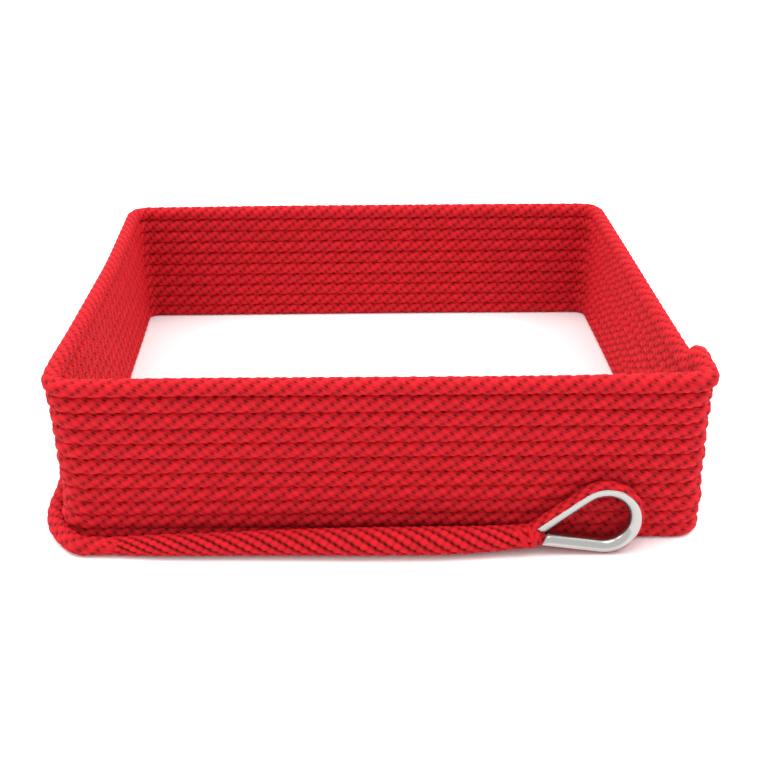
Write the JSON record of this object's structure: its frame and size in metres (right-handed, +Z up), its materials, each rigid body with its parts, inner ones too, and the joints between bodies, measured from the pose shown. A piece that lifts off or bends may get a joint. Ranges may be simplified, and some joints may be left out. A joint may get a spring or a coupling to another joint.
{
  "type": "coiled dock line",
  "caption": "Braided mooring line stacked in an open rectangular coil, with a spliced eye round a metal thimble and one free end.",
  "frame": {"origin": "centre of the part's bounding box, on the floor it lies on", "axes": "+X along the coil's front wall towards the eye, +Y from the front wall to the rear wall, +Z up"},
  "size_m": [0.4408, 0.4392, 0.106],
  "materials": {
    "line": "red solid-braid multifilament, soft sheen",
    "thimble": "satin stainless steel"
  },
  "bodies": {
    "coil_body": {"coil": "line", "bitter_end": "line", "lead": "line"},
    "eye_end": {"splice": "line", "buried_tail": "line", "eye_rope": "line", "thimble": "thimble"}
  },
  "joints": [
    {"name": "free_end_swing", "type": "hinge", "parent": "coil_body", "child": "eye_end", "pos_m": [-0.16106, -0.19941, 0.0047], "axis": [0, 0, -1], "range_deg": [0, 90]}
  ]
}
